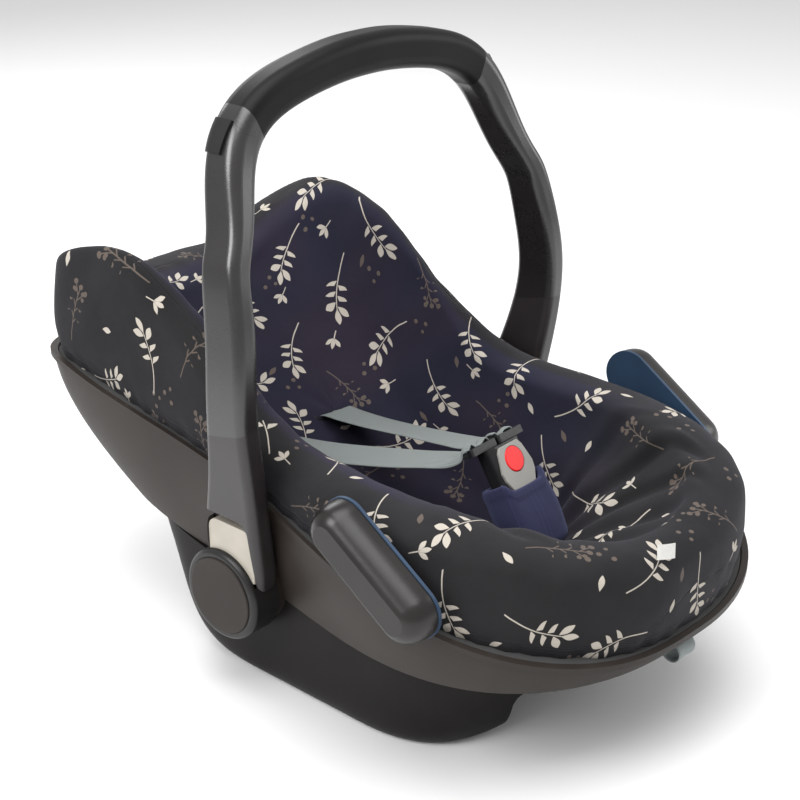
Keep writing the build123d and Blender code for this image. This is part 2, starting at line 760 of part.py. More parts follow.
def slot_bezel(side):
    """Moulded frame round a shoulder strap's slot, set in the back's lining."""
    frame = Box(SLOT_LONG - 1, 4.0, SLOT_HIGH - 1)
    frame = fillet(frame.edges().filter_by(Axis.Y), 6.0)
    frame -= Box(SLOT_LONG - 5, 20.0, SLOT_HIGH - 5)
    return slot_place(side * SLOT_X, 3.0) * frame


def strap_yoke():
    """Steel bar in the foam that both shoulder straps end on."""
    return slot_place(0, YOKE_DEPTH) * Box(2 * SLOT_X + STRAP_WIDE + 4, 3.0, 12.0)


def adjuster_housing():
    """Strap adjuster under the front of the shell, with a mouth for the webbing and a button well."""
    body = block((-24, ADJUSTER_FRONT, ADJUSTER_LOW), (24, ADJUSTER_FRONT + 32, ADJUSTER_LOW + 15))
    body = fillet(body.edges().filter_by(Axis.Z), 5.0)
    low, high = ADJUSTER_LOW + 2.0, ADJUSTER_LOW + 9.5
    body -= block((-13, ADJUSTER_FRONT - 5, high), (13, ADJUSTER_FRONT + 10, high + 4))
    body -= block((-13, ADJUSTER_FRONT - 5, low - 1.0), (13, ADJUSTER_FRONT + 8, low + 5))
    well = block((-9, ADJUSTER_FRONT + 11, ADJUSTER_LOW - 5), (9, ADJUSTER_FRONT + 29, ADJUSTER_LOW + 11.5))
    return body - well


def adjuster_button():
    """Push button in the adjuster's underside."""
    low = ADJUSTER_LOW - 1.5
    body = block((-8.6, ADJUSTER_FRONT + 11.4, low), (8.6, ADJUSTER_FRONT + 28.6, low + 6.0))
    return fillet(body.edges().group_by(Axis.Z)[0], 1.5)


def adjuster_spring():
    """Spring over the adjuster's button."""
    return coil(4.0, 5.0, 2, Pos(0, ADJUSTER_FRONT + 20, ADJUSTER_LOW + 5.5))


def adjuster_strap():
    """Loop of webbing that hangs out of the adjuster under the foot end."""
    route = [
        (8, 11.5), (-6, 12.6), (-16, 11.0), (-21, 5.0), (-21, -2.0), (-15, -6.5), (-8, -5.0), (-2.5, 1.6), (4, 4.4),
    ]
    loop = [(0, ADJUSTER_FRONT + y, ADJUSTER_LOW + z, STRAP_LOOP) for y, z in route]
    return ribbon(loop, 1.6)


def cover_tag():
    """Small blank woven tag sewn on the foot end."""
    face = Plane(origin=TAG_CENTRE, x_dir=TAG_ALONG, z_dir=TAG_OUT)
    return face * Pos(0, 0, 1.0) * Box(*TAG_SIZE)


def handle_screws():
    """Screws in the inner face of each hub."""
    screws = []
    for side in SIDES.values():
        for y in HANDLE_SCREW_Y:
            start, end = side * (HUB_INNER + 0.2), side * (HUB_INNER + 14.0)
            screws.append(x_cylinder(SCREW_R, start, end, y, HANDLE_SCREW_Z))
    return Compound(screws)


def save(name, shape):
    """Writes one node's file: its largest solid, or all solids of a group."""
    if not isinstance(shape, Compound) or name not in GROUPS:
        shape = max(shape.solids(), key=lambda solid: solid.volume)
    export_step(Pos(0, -CENTRE_Y, 0) * shape, f"parts/{name}.step")


def main():
    shell_outer, shell_inner = make_shell_forms()
    crotch = crotch_passage()
    save("upper_shell", upper_shell(shell_outer, shell_inner) - crotch)
    save("foam_liner", foam_liner() - crotch)
    save("seat_cover", seat_cover() - crotch)
    save("lower_base", lower_base(shell_outer))
    save("base_screws", base_screws())

    handle = whole_handle()
    base_outer = skirt(0.0, 0.0)
    save("handle_grip", handle_grip(handle))
    save("handle_screws", handle_screws())
    for name, side in SIDES.items():
        save(f"{name}_pivot_boss", pivot_boss(side, shell_outer, base_outer))
        save(f"{name}_pivot_pin", pivot_pin(side))
        save(f"{name}_hub_ring", hub_ring(side))
        save(f"{name}_hub_cap", hub_cap(side))
        lower, upper = arm_pieces(handle, side)
        save(f"{name}_lower_arm", lower)
        save(f"{name}_upper_arm", upper)
        save(f"{name}_handle_tab", handle_tab(side, handle))
        save(f"{name}_release_button", release_button(side))
        spring = Pos(side * SPRING_X, SPRING_Y, SPRING_Z_LOW)
        save(f"{name}_release_spring", coil(SPRING_R, SPRING_Z_HIGH - SPRING_Z_LOW, 6, spring))
        save(f"{name}_belt_guide", belt_guide(side, shell_outer))
        save(f"{name}_belt_guide_insert", guide_insert(side))
        save(f"{name}_shoulder_strap", shoulder_strap(side))
        save(f"{name}_buckle_tongue", buckle_tongue(side))
        save(f"{name}_slot_bezel", slot_bezel(side))

    save("buckle_housing", buckle_housing())
    save("buckle_plate", buckle_plate())
    save("buckle_button", buckle_button())
    save("buckle_spring", buckle_spring())
    save("crotch_strap", crotch_strap())
    save("crotch_pad", crotch_pad())
    save("strap_yoke", strap_yoke())
    save("adjuster_housing", adjuster_housing())
    save("adjuster_button", adjuster_button())
    save("adjuster_spring", adjuster_spring())
    save("adjuster_strap", adjuster_strap())
    save("cover_tag", cover_tag())


main()
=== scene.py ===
import json
import math

import bpy
import numpy as np
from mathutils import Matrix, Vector


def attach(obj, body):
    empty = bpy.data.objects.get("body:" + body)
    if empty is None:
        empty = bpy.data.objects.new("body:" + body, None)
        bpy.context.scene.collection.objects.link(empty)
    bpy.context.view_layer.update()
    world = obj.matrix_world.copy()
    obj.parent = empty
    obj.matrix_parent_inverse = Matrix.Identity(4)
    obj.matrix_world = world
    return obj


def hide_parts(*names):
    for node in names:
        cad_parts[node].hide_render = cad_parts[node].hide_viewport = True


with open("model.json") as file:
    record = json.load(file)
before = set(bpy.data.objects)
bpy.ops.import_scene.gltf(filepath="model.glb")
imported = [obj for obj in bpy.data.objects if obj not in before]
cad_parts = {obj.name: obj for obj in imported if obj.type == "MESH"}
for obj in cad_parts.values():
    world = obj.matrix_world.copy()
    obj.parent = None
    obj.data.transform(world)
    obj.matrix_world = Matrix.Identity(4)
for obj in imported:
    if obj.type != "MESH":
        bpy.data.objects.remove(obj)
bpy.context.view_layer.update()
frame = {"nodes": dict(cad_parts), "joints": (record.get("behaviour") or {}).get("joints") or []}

# ---- places ------------------------------------------------------------------------------------
# The design's own places are in millimetres from the drawing's datum. The handle's hinge fixes
# where that datum lies in the frame.

HINGE = Vector(next(j for j in frame["joints"] if j["name"] == "handle_swing")["pos_m"]) * 1000
DATUM = HINGE - Vector((0.0, 54.5, 102.0))


def metres(points):
    """Design millimetres to frame metres, for one point or an array of them."""
    return (np.asarray(points, float) + np.array(DATUM)) / 1000.0


# ---- camera, light and floor --------------------------------------------------------------------

def add_camera():
    data = bpy.data.cameras.new("camera")
    data.lens = 71.2
    data.sensor_width = 36.0
    camera = bpy.data.objects.new("camera", data)
    camera.location = metres((-1040.4, -882.4, 854.2))
    camera.rotation_euler = (math.radians(65.8), 0, math.radians(-49.0))
    bpy.context.scene.collection.objects.link(camera)
    bpy.context.scene.camera = camera


def add_light(name, place, aim, size, power, colour=(1, 1, 1)):
    data = bpy.data.lights.new(name, "AREA")
    data.shape = "RECTANGLE"
    data.size, data.size_y = size
    data.energy = power
    data.color = colour
    light = bpy.data.objects.new(name, data)
    light.location = place
    light.rotation_euler = (Vector(aim) - Vector(place)).to_track_quat("-Z", "Y").to_euler()
    bpy.context.scene.collection.objects.link(light)


def add_stage():
    size = 6.0
    mesh = bpy.data.meshes.new("floor")
    corners = [(-size, -size, 0), (size, -size, 0), (size, size, 0), (-size, size, 0)]
    mesh.from_pydata(corners, [], [(0, 1, 2, 3)])
    floor = bpy.data.objects.new("floor", mesh)
    bpy.context.scene.collection.objects.link(floor)
    mesh.materials.append(floor_material())
    world = bpy.data.worlds.new("studio")
    world.use_nodes = True
    world.node_tree.nodes["Background"].inputs["Color"].default_value = (1, 1, 1, 1)
    world.node_tree.nodes["Background"].inputs["Strength"].default_value = 0.62
    bpy.context.scene.world = world
    bpy.context.scene.view_settings.view_transform = "Standard"
    add_light("key", (-2.0, 0.3, 1.9), (0, 0, 0.25), (1.3, 1.3), 42)
    add_light("top", (-0.2, -0.4, 2.9), (0, 0, 0.2), (2.4, 2.4), 70)
    add_light("side", (2.2, -1.4, 1.3), (0, 0, 0.3), (0.9, 1.6), 16)
    add_light("back", (0.8, 2.3, 1.7), (0, 0, 0.3), (1.8, 0.9), 22)


# ---- material helpers ---------------------------------------------------------------------------

class Num:
    """A number worked out at each point of a surface. Arithmetic on it adds math nodes."""

    def __init__(self, tree, socket):
        self.tree = tree
        self.socket = socket

    def op(self, kind, *others, clamp=False):
        node = self.tree.nodes.new("ShaderNodeMath")
        node.operation = kind
        node.use_clamp = clamp
        for slot, value in zip(node.inputs, (self, *others)):
            if isinstance(value, Num):
                self.tree.links.new(value.socket, slot)
            else:
                slot.default_value = value
        return Num(self.tree, node.outputs[0])

    def __add__(self, other):
        return self.op("ADD", other)

    def __sub__(self, other):
        return self.op("SUBTRACT", other)

    def __mul__(self, other):
        return self.op("MULTIPLY", other)

    def __truediv__(self, other):
        return self.op("DIVIDE", other)

    __radd__ = __add__
    __rmul__ = __mul__

    def rsub(self, value):
        return (self * -1.0) + value

    def abs(self):
        return self.op("ABSOLUTE")

    def sin(self):
        return self.op("SINE")

    def cos(self):
        return self.op("COSINE")

    def floor(self):
        return self.op("FLOOR")

    def round(self):
        return self.op("ROUND")

    def fract(self):
        return self.op("FRACT")

    def min(self, other):
        return self.op("MINIMUM", other)

    def max(self, other):
        return self.op("MAXIMUM", other)

    def below(self, other):
        return self.op("LESS_THAN", other)

    def step(self, low, high):
        """0 at low, 1 at high, smooth between; low may be the greater."""
        node = self.tree.nodes.new("ShaderNodeMapRange")
        node.interpolation_type = "SMOOTHSTEP"
        for slot, value in zip(node.inputs, (self, low, high)):
            if isinstance(value, Num):
                self.tree.links.new(value.socket, slot)
            else:
                slot.default_value = value
        return Num(self.tree, node.outputs[0])


class Look:
    """A material under construction: the Principled shader and short ways to add nodes to it."""

    def __init__(self, name, colour, rough, **shader):
        self.material = bpy.data.materials.new(name)
        self.material.use_nodes = True
        self.tree = self.material.node_tree
        self.shader = self.tree.nodes["Principled BSDF"]
        self.set("Base Color", (*colour, 1))
        self.set("Roughness", rough)
        for key, value in shader.items():
            self.set(key.replace("_", " "), value)
        self.height = None

    def set(self, key, value):
        self.shader.inputs[key].default_value = value

    def node(self, kind, **settings):
        made = self.tree.nodes.new(kind)
        for key, value in settings.items():
            setattr(made, key, value)
        return made

    def link(self, out, slot):
        self.tree.links.new(out.socket if isinstance(out, Num) else out, slot)

    def point(self):
        """Position on the object in metres."""
        return self.node("ShaderNodeTexCoord").outputs["Object"]

    def uv(self):
        out = self.node("ShaderNodeSeparateXYZ")
        self.link(self.node("ShaderNodeTexCoord").outputs["UV"], out.inputs[0])
        return Num(self.tree, out.outputs[0]), Num(self.tree, out.outputs[1])

    def axes(self, vector):
        out = self.node("ShaderNodeSeparateXYZ")
        self.link(vector, out.inputs[0])
        return [Num(self.tree, out.outputs[i]) for i in range(3)]

    def noise(self, scale, detail=2.0, rough=0.5):
        """Noise with `scale` features per metre, from 0 to 1."""
        made = self.node("ShaderNodeTexNoise")
        made.inputs["Scale"].default_value = scale
        made.inputs["Detail"].default_value = detail
        made.inputs["Roughness"].default_value = rough
        made.inputs["Distortion"].default_value = 0.0
        self.link(self.point(), made.inputs["Vector"])
        return Num(self.tree, made.outputs["Fac"])

    def colour(self, mask, low, high):
        """Colour from low to high as mask goes from 0 to 1; low or high may be a socket."""
        made = self.node("ShaderNodeMix", data_type="RGBA")
        self.link(mask, made.inputs["Factor"])
        for slot, value in (("A", low), ("B", high)):
            target = [s for s in made.inputs if s.name == slot and s.type == "RGBA"][0]
            if isinstance(value, tuple):
                target.default_value = (*value, 1)
            else:
                self.link(value, target)
        return [s for s in made.outputs if s.type == "RGBA"][0]

    def base(self, socket):
        self.link(socket, self.shader.inputs["Base Color"])

    def rough(self, number):
        self.link(number, self.shader.inputs["Roughness"])

    def relief(self, number, metres_high):
        """Adds surface relief, metres_high tall where number goes from 0 to 1."""
        term = number * metres_high
        self.height = term if self.height is None else self.height + term

    def done(self):
        if self.height is not None:
            bump = self.node("ShaderNodeBump")
            bump.inputs["Strength"].default_value = 1.0
            bump.inputs["Distance"].default_value = 1.0
            self.link(self.height, bump.inputs["Height"])
            self.link(bump.outputs["Normal"], self.shader.inputs["Normal"])
        return self.material


def floor_material():
    look = Look("floor", (0.86, 0.86, 0.86), 0.55)
    look.rough(look.noise(6.0) * 0.1 + 0.5)
    return look.done()


def moulded(name, colour, rough, grain=0.00006, scale=1600.0, scuffs=0.35, shine=0.3):
    """Moulded plastic: spark-eroded grain, faint flow marks and lightly worn, greasy patches."""
    look = Look(name, colour, rough)
    look.set("Specular IOR Level", shine)
    grain_field = look.noise(scale, 2.0, 0.6)
    patches = look.noise(9.0, 3.0, 0.6)
    fine = look.noise(60.0, 3.0, 0.7)
    look.relief(grain_field, grain)
    darker = tuple(c * 0.85 for c in colour)
    lighter = tuple(min(1.0, c * 1.18 + 0.001) for c in colour)
    look.base(look.colour(patches.step(0.3, 0.7), darker, lighter))
    look.rough(patches * 0.16 * scuffs + fine * 0.2 * scuffs + (rough - 0.12 * scuffs))
    return look.done()


def steel():
    look = Look("steel", (0.62, 0.62, 0.63), 0.3, Metallic=1.0)
    look.rough(look.noise(400.0) * 0.2 + 0.22)
    look.relief(look.noise(900.0), 0.00003)
    return look.done()


# ---- printed jersey -----------------------------------------------------------------------------

BIG_CELL = 0.074      # pitch of the print's large motifs, in metres
EDGE = 0.00022        # half the width of a printed edge, in metres


def leaned(x, y, c, s):
    """x and y turned by the angle whose cosine is c and whose sine is s."""
    return x * c + y * s, y * c - x * s


def turned(x, y, angle):
    """x and y turned by an angle that is itself a number on the surface."""
    return leaned(x, y, angle.cos(), angle.sin())


def scatter(look, u, v, cell, shift, jitter):
    """Coordinates inside a scattered grid of cells, and three random numbers for each cell."""
    gu, gv = u / cell + shift, v / cell + shift * 0.7
    iu, iv = gu.floor(), gv.floor()
    spot = look.node("ShaderNodeCombineXYZ")
    look.link(iu, spot.inputs[0])
    look.link(iv, spot.inputs[1])
    spot.inputs[2].default_value = shift * 11.3
    white = look.node("ShaderNodeTexWhiteNoise", noise_dimensions="3D")
    look.link(spot.outputs[0], white.inputs["Vector"])
    a, b, c = look.axes(white.outputs["Color"])
    x = (gu - iu - 0.5 - (a - 0.5) * jitter) * cell
    y = (gv - iv - 0.5 - (b - 0.5) * jitter) * cell
    return x, y, a, b, c


def disc(x, y, radius):
    """1 inside a round dot."""
    d = (x * x + y * y).op("SQRT")
    return d.step(radius + EDGE, radius - EDGE)


def petal(a, b, long, wide):
    """1 inside a rounded leaf, broadest past its middle, that lies along a from 0 to `long`."""
    t = (a / long).max(0.0).min(1.0)
    half = (t * 3.1416).sin() * (t * 0.5 + 0.72) * wide
    return (b.abs() - half).step(EDGE, -EDGE) * t.step(0.0, 0.06) * t.step(1.0, 0.95)


def leafy_sprig(x, y):
    """Curved stem with three pairs of leaves and one at the tip. Places and sizes are in metres."""
    y = y - x * x * 6.5 + 0.004
    side = y.op("GREATER_THAN", 0.0)
    pitch = 0.0102
    along = x - side * 0.0040 + 0.0072
    k = (along / pitch).round().max(0.0).min(2.0)
    local = along - k * pitch
    lift = y.abs() - 0.0009
    a, b = leaned(local, lift, 0.62, 0.785)
    size = (k * -0.0012) + 0.0165
    leaves = petal(a, b, size, 0.0036) * lift.step(-0.0002, 0.0002)
    tip = petal(x - 0.0195, y, 0.0150, 0.0034)
    stem_wide = (x * -0.005) + 0.00052
    inside = (x + 0.033).step(0, 0.001) * (x - 0.022).step(0.0, -0.001)
    stem = (y.abs() - stem_wide).step(EDGE, -EDGE) * inside
    return leaves.max(tip).max(stem)


def berry_twig(x, y):
    """Branching twig with a round berry at each end."""
    y = y + x * x * 4.0 - 0.002
    side = y.op("GREATER_THAN", 0.0)
    pitch = 0.0105
    along = x - side * 0.0052 + 0.014
    k = (along / pitch).round().max(0.0).min(2.0)
    local = along - k * pitch
    lift = y.abs()
    a, b = leaned(local, lift, 0.80, 0.60)
    long = (k * -0.0020) + 0.0175
    branch = (b.abs() - 0.00058).step(EDGE, -EDGE) * (a - long).step(0.0, -0.0004) * a.step(0.0, 0.0004)
    berries = disc(a - long, b, 0.0026)
    inner = disc(a - long * 0.58, b - 0.0034, 0.0020)
    twig = (b - 0.0017).abs().step(0.0005, 0.0002) * (a - long * 0.55).abs().step(0.0016, 0.001)
    tip = disc(x - 0.0205, y, 0.0026).max(disc(x - 0.016, y.abs() - 0.0052, 0.0021))
    inside = (x + 0.031).step(0, 0.001) * (x - 0.0205).step(0.0, -0.001)
    stem = (y.abs() - 0.0006).step(EDGE, -EDGE) * inside
    return branch.max(berries).max(stem).max(tip).max(inner).max(twig)


def small_motif(x, y, pick):
    """A pair of dots, a single leaf or a three-leaved tip, chosen by pick."""
    dots = disc(x - 0.006, y, 0.0023).max(disc(x + 0.006, y - 0.003, 0.0023)).max(disc(x, y + 0.008, 0.0019))
    single = petal(x + 0.006, y, 0.0135, 0.0026)
    lift = y.abs() - 0.0004
    a, b = leaned(x, lift, 0.70, 0.714)
    tip = (petal(a, b, 0.0105, 0.0022) * lift.step(-0.0002, 0.0002)).max(petal(x, y, 0.0115, 0.0022))
    stalk = (y.abs() - 0.0005).step(EDGE, -EDGE) * (x + 0.009).step(0, 0.0004) * x.step(0.001, 0)
    tip = tip.max(stalk)
    low = pick.below(0.34)
    high = pick.op("GREATER_THAN", 0.64)
    middle = (low + high).rsub(1.0)
    return dots * low, single * middle + tip * high


def print_masks(look, u, v):
    """Masks of the pale print and of the taupe print."""
    x, y, a, b, c = scatter(look, u, v, BIG_CELL, 0.0, 0.12)
    x, y = turned(x, y, c * 6.283)
    leafy = a.below(0.60)
    pale = leafy_sprig(x, y) * leafy
    taupe = berry_twig(x, y) * leafy.rsub(1.0)
    x, y, a, b, c = scatter(look, u, v, BIG_CELL, 0.5, 0.10)
    x, y = turned(x, y, b * 6.283)
    dots, bits = small_motif(x, y, c)
    x, y, a, b, c = scatter(look, u + BIG_CELL / 2, v, BIG_CELL, 0.0, 0.16)
    x, y = turned(x, y, b * 6.283)
    extra, specks = small_motif(x, y, c * 0.62)
    pale = pale.max(bits)
    return pale, taupe.max(dots).max(extra * a.below(0.7)).max(specks * a.below(0.45))


def knit(look, u, v, pitch=0.0009):
    """Fine jersey: rows of little loops, as relief from 0 to 1."""
    rows = (v * (2 * math.pi / pitch)).sin()
    wales = (u * (2 * math.pi / pitch) + rows * 0.9).sin()
    return (rows * wales) * 0.5 + 0.5


def printed_jersey():
    """Fine black jersey, navy to aubergine on the lining, with a two-colour print of sprigs."""
    look = Look("printed_jersey", (0.012, 0.012, 0.014), 0.86, Sheen_Weight=0.10, Sheen_Roughness=0.5)
    look.set("Sheen Tint", (0.6, 0.58, 0.7, 1))
    look.set("Specular IOR Level", 0.22)
    u, v = look.uv()
    pale, taupe = print_masks(look, u, v)
    patch = look.noise(14.0, 3.0).step(0.3, 0.7)
    black = look.colour(patch, (0.0085, 0.0085, 0.0092), (0.0145, 0.0138, 0.0146))
    navy = look.colour(look.noise(7.0, 2.0).step(0.35, 0.65), (0.0120, 0.0125, 0.0290), (0.0190, 0.0140, 0.0280))
    inside = Num(look.tree, look.node("ShaderNodeAttribute", attribute_name="inside").outputs["Fac"])
    cloth = look.colour(inside * 0.9, black, navy)
    fleck = look.noise(2600.0, 1.0)
    worn = fleck * 0.3 + 0.76
    ink = look.colour(fleck, (0.40, 0.36, 0.31), (0.60, 0.55, 0.48))
    brown = look.colour(fleck, (0.085, 0.066, 0.055), (0.135, 0.108, 0.090))
    with_brown = look.colour(taupe * worn, cloth, brown)
    look.base(look.colour(pale * worn, with_brown, ink))
    look.relief(knit(look, u, v), 0.00010)
    look.relief(look.noise(900.0, 2.0), 0.00007)
    look.relief(look.noise(120.0, 2.0), 0.00030)
    seam = Num(look.tree, look.node("ShaderNodeAttribute", attribute_name="seam").outputs["Fac"])
    look.relief(seam.step(0.0016, 0.0), -0.0010)
    dash = ((u + v * 0.6) / 0.0034).fract().below(0.62)
    look.relief((seam - 0.0030).abs().step(0.0005, 0.0) * dash, 0.0003)
    return look.done()


# ---- the seat's padded cover --------------------------------------------------------------------

RIM_Z = 191.5         # the shell's rim: its height at the datum, and its rise per mm towards the head
RIM_SLOPE = 0.205

# outside of the cover: height over the rim plane, front end, rear end, half width in front, behind
OUTSIDE = np.array([
    (-6.0, -308.0, 344.0, 193.0, 169.0),
    (1.0, -311.0, 347.0, 195.0, 171.0),
    (24.0, -316.0, 351.0, 195.0, 174.0),
    (50.0, -318.0, 352.0, 191.0, 172.0),
    (85.0, -312.0, 352.0, 182.0, 167.0),
    (125.0, -300.0, 349.0, 172.0, 161.0),
    (200.0, -280.0, 334.0, 158.0, 149.0),
])
# inside: the same for the seat's hollow
INSIDE = np.array([
    (-100.0, -60.0, 45.0, 52.0, 52.0),
    (-88.0, -85.0, 92.0, 84.0, 84.0),
    (-66.0, -112.0, 140.0, 100.0, 100.0),
    (-38.0, -148.0, 194.0, 110.0, 110.0),
    (0.0, -198.0, 246.0, 120.0, 120.0),
    (60.0, -266.0, 298.0, 132.0, 132.0),
    (110.0, -284.0, 322.0, 138.0, 138.0),
    (210.0, -292.0, 340.0, 144.0, 144.0),
])
# the cover's crest: place along the seat, height
CREST = np.array([
    (-340.0, 190.0),
    (-300.0, 210.0),
    (-187.0, 229.0),
    (-90.0, 231.0),
    (6.0, 239.0),
    (54.0, 257.0),
    (112.0, 297.0),
    (180.0, 349.0),
    (247.0, 378.0),
    (300.0, 374.0),
    (335.0, 356.0),
    (362.0, 318.0),
])
HEAD_DIP = 17.0       # how far the crest falls between the wings, at the head
AROUND = 161          # points round half of the cover, both middles counted
ROWS = 149            # points along each section
HEM_ROWS = 40         # points of each section that the hem's gathers reach
COARSE = 4            # cells of the grid, each way, in one cell of the flattening mesh


def smooth_table(rows, value):
    """Row of a table at `value` of its first column, by a smooth curve through the rows."""
    xs = rows[:, 0]
    i = int(np.clip(np.searchsorted(xs, value) - 1, 0, len(xs) - 2))
    before, after = max(0, i - 1), min(len(xs) - 1, i + 2)
    step = xs[i + 1] - xs[i]
    t = (value - xs[i]) / step
    slope_a = (rows[i + 1] - rows[before]) / (xs[i + 1] - xs[before]) * step
    slope_b = (rows[after] - rows[i]) / (xs[after] - xs[i]) * step
    return (
        rows[i] * (2 * t**3 - 3 * t**2 + 1) + slope_a * (t**3 - 2 * t**2 + t)
        + rows[i + 1] * (3 * t**2 - 2 * t**3) + slope_b * (t**3 - t**2)
    )


def ramp(value, low, high):
    t = np.clip((np.asarray(value, float) - low) / (high - low), 0.0, 1.0)
    return t * t * (3.0 - 2.0 * t)


def half_outline(front, rear, half_front, half_rear, front_n=2.4, rear_n=3.2, rear_len=50.0):
    """Half of a bucket's plan from the front middle to the rear middle, evenly spaced."""
    front_len = min(205.0, 0.48 * (rear - front))
    rear_len = min(rear_len, 0.45 * (rear - front))
    wide_at, square_at = front + front_len, rear - rear_len

    def half(y):
        return half_front + (half_rear - half_front) * ramp(y, wide_at - 20.0, wide_at + 190.0)

    angle = np.linspace(0, math.pi / 2, 160)
    y1 = wide_at - front_len * np.cos(angle) ** (2.0 / front_n)
    x1 = half(y1) * np.sin(angle) ** (2.0 / front_n)
    y2 = np.linspace(wide_at, square_at, 80)[1:-1]
    x2 = half(y2)
    y3 = square_at + rear_len * np.sin(angle) ** (2.0 / rear_n)
    x3 = half(y3) * np.cos(angle) ** (2.0 / rear_n)
    line = np.stack([np.r_[x1, x2, x3], np.r_[y1, y2, y3]], 1)
    run = np.r_[0, np.cumsum(np.hypot(*np.diff(line, axis=0).T))]
    even = np.linspace(0, run[-1], AROUND)
    return np.stack([np.interp(even, run, line[:, 0]), np.interp(even, run, line[:, 1])], 1)


def sheet_at(rows, height, **shape):
    """Half ring of (x, y, z) points of a table's form at a height over the rim plane."""
    _, front, rear, half_front, half_rear = smooth_table(rows, height)
    plan = half_outline(front, rear, half_front, half_rear, **shape)
    z = RIM_Z + RIM_SLOPE * plan[:, 1] + height
    return np.column_stack([plan, z])


def crest_height(x, y):
    level = np.array([smooth_table(CREST, v)[1] for v in y])
    return level - HEAD_DIP * ramp(y, 285.0, 335.0) * (1.0 - ramp(np.abs(x), 55.0, 125.0))


def cover_sections():
    """For each step round half of the cover: its section from the hem over the crest to the middle,
    and how far along that section the crest lies."""
    heights = np.linspace(-6, 200, 104)
    outside = np.array([sheet_at(OUTSIDE, h) for h in heights])
    inside_heights = np.linspace(-100, 200, 151)
    inside = np.array([sheet_at(INSIDE, h, front_n=2.5, rear_n=2.8, rear_len=110.0) for h in inside_heights])
    roll = 14.0
    sections, crests = [], []
    for i in range(AROUND):
        wall = outside[:, i]
        over = wall[:, 2] - crest_height(wall[:, 0], wall[:, 1])
        k = int(np.argmax(over > 0))
        f = over[k - 1] / (over[k - 1] - over[k])
        top = heights[k - 1] + f * (heights[k] - heights[k - 1])
        outer = np.array([
            [np.interp(h, heights, wall[:, c]) for c in range(3)] for h in np.linspace(-6, top - roll, 26)
        ])
        hollow = inside[:, i]
        inner = np.array([
            [np.interp(h, inside_heights, hollow[:, c]) for c in range(3)]
            for h in np.linspace(top - roll, -100, 60)
        ])
        a, b = outer[-1], inner[0]
        turn = np.linspace(0, math.pi, 14)[1:-1]
        middle, reach = (a + b) / 2, (a - b) / 2
        arch = [middle + reach * math.cos(w) + np.array([0, 0, roll * 1.05 * math.sin(w)]) for w in turn]
        pole = np.array([0.0, -10.0, RIM_Z - 10.0 * RIM_SLOPE - 102.0])
        floor = [inner[-1] + (pole - inner[-1]) * s for s in np.linspace(0, 1, 22)[1:]]
        line = np.vstack([outer, arch, inner, floor])
        run = np.r_[0, np.cumsum(np.linalg.norm(np.diff(line, axis=0), axis=1))]
        even = np.linspace(0, run[-1], ROWS)
        sections.append(np.column_stack([np.interp(even, run, line[:, c]) for c in range(3)]))
        crests.append(run[len(outer) + len(arch) // 2] / run[-1])
    return np.array(sections), np.array(crests)


def normals(grid):
    """Outward direction at each point of a grid that is closed round its first axis."""
    along = np.roll(grid, -1, 0) - np.roll(grid, 1, 0)
    up = np.gradient(grid, axis=1)
    out = np.cross(along, up)
    return out / np.maximum(np.linalg.norm(out, axis=2, keepdims=True), 1e-9)


def waves(points, size, seed):
    """Smooth uneven waves about `size` long, roughly from -1 to 1."""
    rng = np.random.RandomState(seed)
    total = 0.0
    for _ in range(7):
        way = rng.normal(size=3)
        way *= 2 * math.pi / (size * rng.uniform(0.8, 1.7) * np.linalg.norm(way))
        total = total + np.sin(points @ way + rng.uniform(0, 6.28))
    return total / 3.0


FOLDS = [
    # direction from the crotch pad (0 is towards the feet, degrees), bend, depth mm, width mm, from, to
    (-104, 26, 3.2, 7, 30, 150), (-80, 24, 4.4, 8, 34, 185), (-57, 18, 3.6, 7, 40, 170),
    (-36, 10, 4.2, 8, 42, 150), (-14, 5, 2.8, 6, 46, 140), (10, -4, 3.4, 7, 44, 150),
    (31, -12, 4.6, 8, 40, 165), (52, -20, 4.0, 7, 38, 190), (73, -26, 4.8, 8, 32, 200),
    (96, -28, 3.4, 7, 30, 160),
]
PAD_Y = -122.0        # where the folds run together
SLOT = (48.0, 161.0, 165.0)   # middle of the left strap slot; the right one is its mirror image


def cover_relief(grid, share):
    """How far each point of the cover stands out from its plain form, in mm.
    share is 0 on the outside, 1 inside."""
    x, y, z = grid[..., 0], grid[..., 1], grid[..., 2]
    relief = waves(grid, 120.0, 3) * 1.6 + waves(grid, 46.0, 5) * 0.55
    from_pad = np.hypot(x, y - PAD_Y)
    angle = np.degrees(np.arctan2(x, -(y - PAD_Y)))
    wander = waves(grid, 60.0, 11) * 2.5
    for way, bend, depth, wide, start, stop in FOLDS:
        off = np.radians(angle - way - bend * (from_pad - 90.0) / 60.0) * from_pad + wander
        reach = ramp(from_pad, start, start + 26) * (1 - ramp(from_pad, stop - 45, stop))
        shape = -np.exp(-(off / wide) ** 2) + 0.62 * np.exp(-((off - 1.9 * wide) / (1.5 * wide)) ** 2)
        relief += depth * shape * reach * share
    # the lining is drawn in round the strap slots
    for side in (-1, 1):
        near = np.sqrt((x - side * SLOT[0]) ** 2 + (y - SLOT[1]) ** 2 + (z - SLOT[2]) ** 2)
        round_slot = np.arctan2(z - SLOT[2], x - side * SLOT[0])
        relief += share * 2.2 * np.exp(-(near / 34.0) ** 2) * np.sin(round_slot * 5)
    return relief


